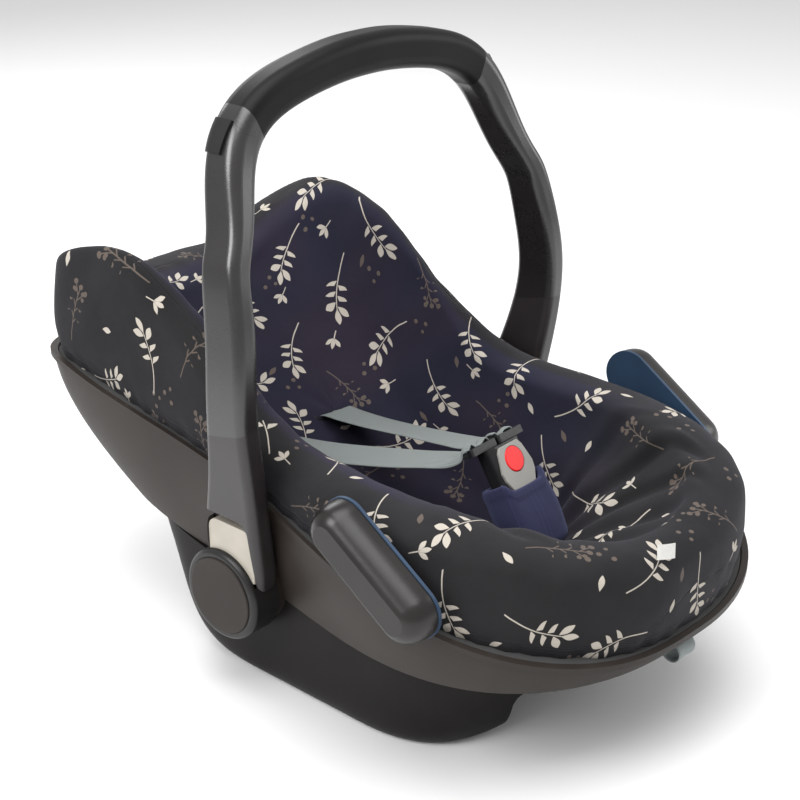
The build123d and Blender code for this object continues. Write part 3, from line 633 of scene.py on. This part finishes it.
def hem_relief(grid):
    """Gathers where the elastic in the hem draws the cloth in under the rim."""
    above = grid[..., 2] - RIM_Z - RIM_SLOPE * grid[..., 1]
    step = np.linalg.norm(np.diff(grid[:, :1], axis=0, append=grid[:1, :1]), axis=2)
    along = np.cumsum(step, axis=0)
    row = np.arange(grid.shape[1])[None, :]
    ruffle = np.sin(along * 2 * math.pi / 24.0 + waves(grid, 90.0, 21) * 3.0) + 0.5 * waves(grid, 30.0, 23)
    return ruffle * 0.9 * np.exp(-np.maximum(above, 0) / 16.0) * (row < HEM_ROWS)


def seam_distance(grid, share, crests):
    """Distance of each point from the nearest sewn seam, in mm: the foot end's border, the wings'
    crest and the hem."""
    x, y = grid[..., 0], grid[..., 1]
    above = grid[..., 2] - RIM_Z - RIM_SLOPE * y
    border = np.abs(above - 42.5 + 0.0032 * x**2 + 12.0 * (x / 67.0) ** 8)
    foot = np.where((share < 0.5) & (y < -200), border, 99.0)
    step = np.linalg.norm(np.gradient(grid, axis=1), axis=2)
    crest = np.abs(np.arange(ROWS)[None, :] - crests[:, None] + 1.5) * step
    wing = np.where(y > 10, crest + 40 * ramp(-y, -60, -10), 99.0)
    hem = np.where(share < 0.5, np.abs(above - 9.0), 99.0)
    return np.minimum(np.minimum(foot, wing), hem)


def cover_grid():
    """Grid of the cover's points, steps round the seat by rows from hem to middle, and for each
    point whether it is outside (0) or inside (1)."""
    half, crests = cover_sections()
    other = half[1:-1][::-1].copy()
    other[:, :, 0] *= -1
    grid = np.concatenate([half, other])
    crests = np.concatenate([crests, crests[1:-1][::-1]]) * (ROWS - 1)
    for _ in range(5):
        smooth = (np.roll(grid, 1, 0) + np.roll(grid, -1, 0)) / 2
        grid[:, 1:-1] = 0.5 * grid[:, 1:-1] + 0.25 * smooth[:, 1:-1] + 0.125 * (grid[:, :-2] + grid[:, 2:])
    share = ramp(np.arange(ROWS)[None, :] - crests[:, None], -1.0, 4.0)
    out = normals(grid)
    relief = cover_relief(grid, share) + hem_relief(grid)
    relief += 0.8 * waves(grid, 22.0, 31) * np.exp(-seam_distance(grid, share, crests) / 9.0)
    relief[:, -12:] *= np.linspace(1, 0, 12)[None, :]
    relief[:, 0] = 0
    grid = grid + out * relief[..., None]
    grid[:, -1] = grid[:, -1].mean(0)
    return grid, share, crests


def closed_faces(n, rows):
    """Corners of the cells of a closed grid whose last row is one point, as (i, r) pairs."""
    cells = []
    for i in range(n):
        j = (i + 1) % n
        for r in range(rows - 2):
            cells.append(((i, r), (j, r), (j, r + 1), (i, r + 1)))
        cells.append(((i, rows - 2), (j, rows - 2), (0, rows - 1)))
    return cells


def closed_mesh(name, grid):
    """Mesh of a grid that is closed round its first axis and ends in one middle point."""
    n, rows = grid.shape[:2]
    body = grid[:, :-1].reshape(-1, 3)
    points = np.vstack([body, grid[:, -1].mean(0)])

    def index(i, r):
        return len(points) - 1 if r == rows - 1 else i * (rows - 1) + r

    faces = [[index(*corner) for corner in cell] for cell in closed_faces(n, rows)]
    mesh = bpy.data.meshes.new(name)
    mesh.from_pydata([tuple(p) for p in metres(points)], [], faces)
    mesh.polygons.foreach_set("use_smooth", [True] * len(faces))
    obj = bpy.data.objects.new(name, mesh)
    bpy.context.scene.collection.objects.link(obj)
    return obj


def flatten_cover(grid, crests):
    """Places of the coarse grid's face corners on the flat cloth, in metres, by (cell, corner)."""
    coarse = np.concatenate([grid[::COARSE, ::COARSE][:, :-1], grid[::COARSE, -1:]], axis=1)
    n, rows = coarse.shape[:2]
    obj = closed_mesh("flattening", coarse)
    mesh = obj.data
    near_arm = int(np.argmin(np.where(coarse[:, 0, 0] < 0, np.abs(coarse[:, 0, 1] - 54.0), 1e9)))
    cuts = {near_arm: rows, n // 2: int(crests[AROUND - 1] / COARSE), n // 5: int(crests[n // 5] / COARSE)}
    for edge in mesh.edges:
        a, b = edge.vertices
        column_a, column_b = a // (rows - 1), b // (rows - 1)
        if b == len(mesh.vertices) - 1:
            edge.use_seam = column_a == near_arm
        elif column_a == column_b and column_a in cuts:
            edge.use_seam = max(a, b) % (rows - 1) <= cuts[column_a]
    bpy.ops.object.select_all(action="DESELECT")
    bpy.context.view_layer.objects.active = obj
    obj.select_set(True)
    bpy.ops.object.mode_set(mode="EDIT")
    bpy.ops.mesh.select_all(action="SELECT")
    bpy.ops.uv.unwrap(method="MINIMUM_STRETCH", iterations=40)
    bpy.ops.object.mode_set(mode="OBJECT")
    uv = np.zeros(len(mesh.loops) * 2)
    mesh.uv_layers[0].data.foreach_get("uv", uv)
    uv = uv.reshape(-1, 2)
    flat = real = 0.0
    corners = []
    for poly in mesh.polygons:
        spots = uv[poly.loop_start:poly.loop_start + poly.loop_total]
        corners.append(spots)
        real += poly.area
        after = np.roll(spots, -1, 0)
        flat += abs(np.sum(spots[:, 0] * after[:, 1] - after[:, 0] * spots[:, 1])) / 2
    scale = math.sqrt(real / flat)
    bpy.data.objects.remove(obj)
    bpy.data.meshes.remove(mesh)
    return [spots * scale for spots in corners], rows


def make_cover():
    grid, share, crests = cover_grid()
    cover = closed_mesh("seat_cover_fabric", grid)
    mesh = cover.data
    mesh.materials.append(printed_jersey())
    corners, rows_c = flatten_cover(grid, crests)
    uv = mesh.uv_layers.new(name="UVMap")
    flat = np.zeros((len(mesh.loops), 2))
    loop = 0
    for cell in closed_faces(*grid.shape[:2]):
        i, r = cell[0]
        spots = corners[(i // COARSE) * (rows_c - 1) + min(r // COARSE, rows_c - 2)]
        if len(spots) == 3:
            spots = spots[[0, 1, 2, 2]]
        for corner, (_, row) in enumerate(cell):
            column = i + (1 if corner in (1, 2) and row < ROWS - 1 else 0)
            s = (column - (i // COARSE) * COARSE) / COARSE
            t = (row - (r // COARSE) * COARSE) / COARSE
            low = spots[0] * (1 - s) + spots[1] * s
            high = spots[3] * (1 - s) + spots[2] * s
            flat[loop] = low * (1 - t) + high * t
            loop += 1
    uv.data.foreach_set("uv", flat.ravel())
    inside = mesh.attributes.new(name="inside", type="FLOAT", domain="POINT")
    tint = share * ramp(grid[..., 1], -190.0, -60.0)
    inside.data.foreach_set("value", np.r_[tint[:, :-1].ravel(), 1.0])
    seam = mesh.attributes.new(name="seam", type="FLOAT", domain="POINT")
    near = seam_distance(grid, share, crests) / 1000
    seam.data.foreach_set("value", np.r_[near[:, :-1].ravel(), 1.0])
    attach(cover, "carrier")
    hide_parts("seat_cover")


# ---- webbing, pad and tag -----------------------------------------------------------------------

def smooth_path(points, count):
    """Evenly spaced rows along a smooth curve through rows of numbers."""
    points = np.asarray(points, float)
    padded = np.vstack([2 * points[0] - points[1], points, 2 * points[-1] - points[-2]])
    line = []
    for k in range(1, len(padded) - 2):
        a, b, c, d = padded[k - 1:k + 3]
        for t in np.linspace(0, 1, 24, endpoint=False):
            line.append(0.5 * (2 * b + (c - a) * t + (2 * a - 5 * b + 4 * c - d) * t**2
                               + (3 * b - a - 3 * c + d) * t**3))
    line.append(points[-1])
    line = np.array(line)
    run = np.r_[0, np.cumsum(np.linalg.norm(np.diff(line[:, :3], axis=0), axis=1))]
    even = np.linspace(0, run[-1], count)
    return np.column_stack([np.interp(even, run, line[:, c]) for c in range(line.shape[1])]), even


def band_mesh(name, points, thick, material, count=90, across=14, crumple=None):
    """Webbing with two faces and closed edges along (x, y, z, width, twist in degrees) points."""
    line, run = smooth_path(points, count)
    middle = line[:, :3]
    ahead = np.gradient(middle, axis=0)
    ahead /= np.linalg.norm(ahead, axis=1)[:, None]
    side = np.tile([1.0, 0.0, 0.0], (count, 1))
    side -= ahead * np.sum(side * ahead, 1)[:, None]
    side /= np.linalg.norm(side, axis=1)[:, None]
    up = np.cross(side, ahead)
    turn = np.radians(line[:, 4])[:, None]
    side, up = side * np.cos(turn) + up * np.sin(turn), up * np.cos(turn) - side * np.sin(turn)
    s = np.linspace(-1, 1, across)
    rings = []
    for k in range(count):
        lift = np.zeros(across) if crumple is None else crumple(run[k] / run[-1], run[k], s)
        flat = middle[k] + np.outer(s * line[k, 3] / 2, side[k]) + np.outer(lift, up[k])
        half = np.full(across, thick / 2)
        half[[0, -1]] *= 0.45
        rings.append(np.vstack([flat + up[k] * half[:, None], (flat - up[k] * half[:, None])[::-1]]))
    rings = np.array(rings)
    ring = 2 * across
    faces, flat_uv = [], []
    spot = np.r_[s, s[::-1]]
    for k in range(count - 1):
        for c in range(ring):
            d = (c + 1) % ring
            faces.append((k * ring + c, k * ring + d, (k + 1) * ring + d, (k + 1) * ring + c))
            wide = line[k, 3] / 2000.0
            flat_uv += [(run[k] / 1000, spot[c] * wide), (run[k] / 1000, spot[d] * wide),
                        (run[k + 1] / 1000, spot[d] * wide), (run[k + 1] / 1000, spot[c] * wide)]
    last = (count - 1) * ring
    faces += [tuple(range(ring))[::-1], tuple(range(last, last + ring))]
    flat_uv += [(0, 0)] * (2 * ring)
    mesh = bpy.data.meshes.new(name)
    mesh.from_pydata([tuple(p) for p in metres(rings.reshape(-1, 3))], [], faces)
    mesh.update()
    mesh.polygons.foreach_set("use_smooth", [True] * len(faces))
    layer = mesh.uv_layers.new(name="UVMap")
    layer.data.foreach_set("uv", np.array(flat_uv, float).ravel())
    mesh.materials.append(material)
    obj = bpy.data.objects.new(name, mesh)
    bpy.context.scene.collection.objects.link(obj)
    return obj


def webbing_look(name, colour):
    """Polyester webbing: ribs along it and a fine herringbone weft."""
    look = Look(name, colour, 0.62, Sheen_Weight=0.12, Sheen_Roughness=0.5)
    look.set("Specular IOR Level", 0.35)
    u, v = look.uv()
    ribs = (v * (2 * math.pi / 0.0019)).sin()
    zigzag = (v / 0.0038).fract() - 0.5
    weft = ((u + zigzag.abs() * 0.0024) * (2 * math.pi / 0.0010)).sin()
    field = ribs * 0.35 + weft * 0.3 + 0.5
    dark, light = tuple(c * 0.78 for c in colour), tuple(c * 1.12 for c in colour)
    soil = look.noise(45.0, 3.0)
    look.base(look.colour(field * 0.75 + soil * 0.35, dark, light))
    look.relief(field, 0.00022)
    return look.done()


def pad_look():
    """Brushed navy knit."""
    look = Look("navy_knit", (0.018, 0.019, 0.05), 0.9, Sheen_Weight=0.35, Sheen_Roughness=0.5)
    look.set("Sheen Tint", (0.35, 0.38, 0.62, 1))
    look.set("Specular IOR Level", 0.2)
    u, v = look.uv()
    field = knit(look, u, v, 0.0012)
    fuzz = look.noise(1800.0, 2.0, 0.7)
    look.base(look.colour(fuzz * 0.6 + field * 0.4, (0.010, 0.011, 0.032), (0.034, 0.036, 0.085)))
    look.relief(field, 0.00016)
    look.relief(fuzz, 0.00012)
    return look.done()


def tag_look():
    look = Look("woven_tag", (0.72, 0.71, 0.68), 0.55, Sheen_Weight=0.1)
    u, v = look.uv()
    ribs = (u * (2 * math.pi / 0.0006)).sin() * 0.5 + 0.5
    look.base(look.colour(ribs * 0.5 + look.noise(300.0) * 0.4, (0.55, 0.54, 0.51), (0.82, 0.81, 0.78)))
    look.relief(ribs, 0.00008)
    return look.done()


housing = frame["nodes"]["buckle_housing"]
BUCKLE = np.mean([housing.matrix_world @ Vector(c) for c in housing.bound_box], axis=0) * 1000 - np.array(DATUM)
LEAN = math.radians(32.0)     # how far the buckle leans back
BUCKLE_UP = np.array([0.0, math.sin(LEAN), math.cos(LEAN)])
BUCKLE_OUT = np.array([0.0, -math.cos(LEAN), math.sin(LEAN)])


def at_buckle(x, up, out):
    """Design place of a point beside the buckle: across it, up along it, out from its face."""
    return BUCKLE + np.array([x, 0, 0]) + BUCKLE_UP * up + BUCKLE_OUT * out


def make_straps():
    look = webbing_look("webbing", (0.185, 0.208, 0.202))
    for name, side in (("right", -1), ("left", 1)):
        top = at_buckle(side * 19.0, 36.0, -2.0)
        behind = at_buckle(side * 19.5, 30.0, -17.0)
        path = [
            (side * 48, 171, 151, 38, 0),
            (side * 48, 160.5, 163, 38, 0),
            (side * 47.5, 151, 168.0, 38, side * 2),
            (side * 46, 128, 169.5, 38, side * 4),
            (side * 41, 84, 175.0, 38, side * 6),
            (side * 34, 30, 184.5, 38, side * 7),
            (side * 27, -24, 195.5, 38, side * 5),
            (side * 22, -58, 205.0, 37, side * 2),
            (*behind, 35, 0),
            (*(0.55 * behind + 0.45 * top + BUCKLE_UP * 3), 33, 0),
            (*top, 32, 0),
        ]

        def crumple(t, run, s, side=side):
            near = ramp(t, 0.74, 0.93)
            folds = np.sin(s * 5.2 + side * 0.9 + t * 9) * 2.3 + np.sin(s * 9.5 - t * 14 + side) * 1.1
            return near * folds - (1 - near) * 0.9 * (s**2) + 0.7 * np.sin(run / 46.0 + side) * (1 - near)

        strap = band_mesh(f"{name}_harness_webbing", path, 1.5, look, 150, 22, crumple)
        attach(strap, "carrier")
        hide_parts(f"{name}_shoulder_strap")
    low = [(*at_buckle(0, -31.0 - d, -4.5), 38, 0) for d in (0, 30, 65, 98)]
    crotch = band_mesh("crotch_webbing", low, 1.6, look, 40, 10)
    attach(crotch, "carrier")
    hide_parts("crotch_strap")


def make_slots():
    """Moulded slot frames in the back's lining, each closed by a cap of the frame's black that paints the shade of
    the hollow behind it.
    """
    # the frame's own black, also used as painted shade for the cap that closes the slot's opening
    black = moulded("slot_black_and_painted_hollow", (0.006, 0.006, 0.008), 0.45, 0.00003, shine=0.25)
    turn = np.linspace(0, 2 * math.pi, 64, endpoint=False)
    lean = math.radians(54.0)
    rise = np.array([0.0, math.sin(lean), math.cos(lean)])
    out = np.array([0.0, -math.cos(lean), math.sin(lean)])
    for name, side in (("right", -1), ("left", 1)):
        middle = np.array([side * SLOT[0], SLOT[1] - 1.5, SLOT[2] + 2.5])
        profile = [(1.17, -3.0), (1.17, 0.4), (1.10, 1.6), (1.0, 1.2), (0.95, -0.4), (0.93, -1.6), (0.4, -1.9)]
        rings = []
        for grow, lift in profile:
            c, s = np.cos(turn), np.sin(turn)
            across = 23.0 * grow * np.sign(c) * np.abs(c) ** 0.75
            up = 8.5 * grow * np.sign(s) * np.abs(s) ** 0.9
            rings.append(middle + np.outer(across, [1.0, 0, 0]) + np.outer(up, rise) + out * lift)
        grid = np.array(rings).transpose(1, 0, 2)
        # the middle point closes the opening with a black cap: painted shade of the hollow behind the slot
        grid = np.concatenate([grid, np.tile(grid[:, -1].mean(0), (len(turn), 1, 1))], axis=1)
        frame_mesh = closed_mesh(f"{name}_slot_frame_with_painted_hollow", grid)
        frame_mesh.data.materials.append(black)
        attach(frame_mesh, "carrier")
        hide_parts(f"{name}_slot_bezel")


def make_adjuster_loop():
    node = frame["nodes"]["adjuster_housing"]
    spots = [node.matrix_world @ Vector(c) for c in node.bound_box]
    front = min(p.y for p in spots) * 1000 - DATUM.y
    low = min(p.z for p in spots) * 1000 - DATUM.z
    route = [
        (7, 11.5), (-6, 12.6), (-16, 11.0), (-21, 5.0), (-20.5, -2.0), (-15, -6.5), (-8, -5.2), (-2, 1.0), (5, 4.3),
    ]
    path = [(0, front + y, low + z, 25, 0) for y, z in route]
    look = webbing_look("adjuster_webbing", (0.23, 0.262, 0.262))

    def crumple(t, run, s):
        return 0.8 * np.sin(s * 2.2 + t * 4) * ramp(t, 0.1, 0.4) * (1 - ramp(t, 0.7, 0.9))

    loop = band_mesh("adjuster_webbing", path, 1.5, look, 70, 14, crumple)
    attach(loop, "carrier")
    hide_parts("adjuster_strap")


def make_pad():
    """Sleeve of navy knit round the lower half of the buckle, open at the top, with sewn corners."""
    wide, deep, bottom, top = 31.0, 18.0, -78.0, -8.0
    n, corner = 96, 4.2
    turn = np.linspace(0, 2 * math.pi, n, endpoint=False)
    rings = []

    def ring(grow, up, dip=0.0):
        c, s = np.cos(turn), np.sin(turn)
        x = (wide + grow) * np.sign(c) * np.abs(c) ** (2 / corner)
        out = (deep + grow) * np.sign(s) * np.abs(s) ** (2 / corner)
        rise = up - dip * ramp(s, 0.2, 0.8) * (1 - ramp(np.abs(c), 0.35, 0.9))
        return np.array([at_buckle(a, b, d) for a, b, d in zip(x, rise, out)])

    for grow, up in ((-29.0, bottom), (-16.0, bottom - 0.5), (-6.0, bottom + 0.5), (-1.5, bottom + 4.0)):
        rings.append(ring(grow, up))
    for t in np.linspace(0.04, 1, 30):
        bulge = 1.6 * math.sin(math.pi * t) - 0.6 + (0.7 if t > 0.9 else 0.0)
        rings.append(ring(bulge, bottom + 6 + (top - bottom - 6) * t, 9.0 * t))
    rings.append(ring(-0.6, top + 2.0, 9.0))
    rings.append(ring(-2.6, top + 2.2, 9.0))
    rings.append(ring(-4.2, top + 0.5, 9.0))
    for t in np.linspace(0.1, 1, 8):
        rings.append(ring(-4.8, top - 22.0 * t, 9.0 * (1 - t)))
    rings.append(ring(-17.0, top - 24.0))
    grid = np.array(rings)[::-1, ::-1].transpose(1, 0, 2).copy()
    out = normals(grid)
    side = np.abs(np.cos(turn))[::-1][:, None]
    seam = -0.9 * np.exp(-((side - 0.88) / 0.03) ** 2)
    relief = seam * np.ones((1, grid.shape[1])) + waves(grid, 26.0, 41) * 0.5
    grid = grid + out * relief[..., None]
    middle = grid[:, -1].mean(0)
    grid = np.concatenate([grid, np.tile(middle, (n, 1, 1))], axis=1)
    pad = closed_mesh("crotch_pad_knit", grid)
    uv = pad.data.uv_layers.new(name="UVMap")
    run = np.cumsum(np.r_[0, np.linalg.norm(np.diff(grid[0], axis=0), axis=1)]) / 1000
    around = 2 * math.pi * 26.0 / n / 1000
    spots = []
    for cell in closed_faces(*grid.shape[:2]):
        i = cell[0][0]
        for corner_at, (_, row) in enumerate(cell):
            spots.append(((i + (1 if corner_at in (1, 2) else 0)) * around, run[row]))
    uv.data.foreach_set("uv", np.array(spots).ravel())
    pad.data.materials.append(pad_look())
    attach(pad, "carrier")
    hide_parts("crotch_pad")


TAG_AT = np.array([-49.5, -307.5, 213.5])         # the tag's middle, its long way and its outward way
TAG_ALONG = np.array([0.944, -0.24, -0.226])
TAG_OUT = np.array([-0.174, -0.946, 0.273])


def make_tag():
    """Blank woven tag, folded under and stitched at both ends."""
    rise = np.cross(TAG_OUT, TAG_ALONG)
    places = np.linspace(-1, 1, 9)
    line = np.array([TAG_AT + TAG_ALONG * 10.2 * t + TAG_OUT * (2.3 - 1.3 * t**2) for t in places])
    front = np.array([[p + rise * 6.2 * s for s in np.linspace(-1, 1, 7)] for p in line])
    points = np.vstack([(front + TAG_OUT * 0.35).reshape(-1, 3), (front - TAG_OUT * 0.35).reshape(-1, 3)])
    mesh = bpy.data.meshes.new("tag_weave")
    faces, half = [], 9 * 7
    for i in range(8):
        for j in range(6):
            a = i * 7 + j
            faces.append((a, a + 1, a + 8, a + 7))
            faces.append((half + a, half + a + 7, half + a + 8, half + a + 1))
    edge = [i * 7 for i in range(9)] + [8 * 7 + j for j in range(1, 7)]
    edge += [i * 7 + 6 for i in range(7, -1, -1)] + [j for j in range(5, 0, -1)]
    for a, b in zip(edge, edge[1:] + edge[:1]):
        faces.append((a, b, half + b, half + a))
    mesh.from_pydata([tuple(p) for p in metres(points)], [], faces)
    mesh.update()
    layer = mesh.uv_layers.new(name="UVMap")
    for loop in mesh.loops:
        k = loop.vertex_index % half
        layer.data[loop.index].uv = (k // 7 * 0.0026, k % 7 * 0.0021)
    mesh.materials.append(tag_look())
    obj = bpy.data.objects.new("tag_weave", mesh)
    bpy.context.scene.collection.objects.link(obj)
    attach(obj, "carrier")
    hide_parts("cover_tag")


# ---- assembly -----------------------------------------------------------------------------------

def dress(names, material):
    for name in names:
        obj = frame["nodes"][name]
        obj.data.materials.clear()
        obj.data.materials.append(material)


def both(name):
    return [f"right_{name}", f"left_{name}"]


def dress_cad():
    dress(["upper_shell", *both("pivot_boss")],
          moulded("shell_plastic", (0.0235, 0.0185, 0.0155), 0.42, 0.00010, 1300.0, shine=0.28))
    dress(["lower_base"], moulded("base_plastic", (0.0095, 0.0082, 0.0078), 0.40, 0.00008, 1300.0, shine=0.14))
    dress(["foam_liner"], moulded("bead_foam", (0.05, 0.05, 0.05), 0.8, 0.0004, 260.0))
    dress(["base_screws", "handle_screws", *both("pivot_pin"), *both("release_spring"), "buckle_spring",
           "strap_yoke", "adjuster_spring"], steel())
    dress(both("lower_arm"), moulded("lower_arm_plastic", (0.0150, 0.0118, 0.0125), 0.33, 0.00004, shine=0.6))
    dress(both("upper_arm"), moulded("upper_arm_plastic", (0.0085, 0.0074, 0.0072), 0.26, 0.00003, shine=0.9))
    dress(["handle_grip"], moulded("grip_plastic", (0.0055, 0.0053, 0.0056), 0.40, 0.00005, shine=0.16))
    dress(both("handle_tab"), moulded("tab_plastic", (0.012, 0.0112, 0.0115), 0.22, 0.00001, shine=0.5))
    dress(both("hub_ring"), moulded("hub_plastic", (0.0085, 0.0080, 0.0078), 0.36, 0.00004, shine=0.42))
    dress(both("hub_cap"), moulded("cap_plastic", (0.022, 0.0172, 0.0145), 0.46, 0.00012, 1100.0, shine=0.26))
    dress(both("release_button"), moulded("button_plastic", (0.42, 0.385, 0.33), 0.35, 0.00002, shine=0.45))
    dress(both("belt_guide"), moulded("guide_plastic", (0.0110, 0.0092, 0.0085), 0.27, 0.00003, shine=0.45))
    dress(both("belt_guide_insert"), moulded("guide_blue", (0.022, 0.045, 0.085), 0.4, shine=0.4))
    dress(["buckle_housing", *both("buckle_tongue"), "adjuster_housing"],
          moulded("buckle_black", (0.008, 0.008, 0.009), 0.3, 0.00003, shine=0.45))
    dress(["buckle_plate"], moulded("buckle_silver", (0.22, 0.212, 0.195), 0.28, 0.00002, shine=0.6))
    dress(["buckle_button"], moulded("buckle_red", (0.72, 0.010, 0.012), 0.28, 0.00001, shine=0.4))
    dress(["adjuster_button"], moulded("adjuster_grey", (0.10, 0.10, 0.105), 0.4))


add_camera()
add_stage()
dress_cad()
make_cover()
make_straps()
make_slots()
make_adjuster_loop()
make_pad()
make_tag()
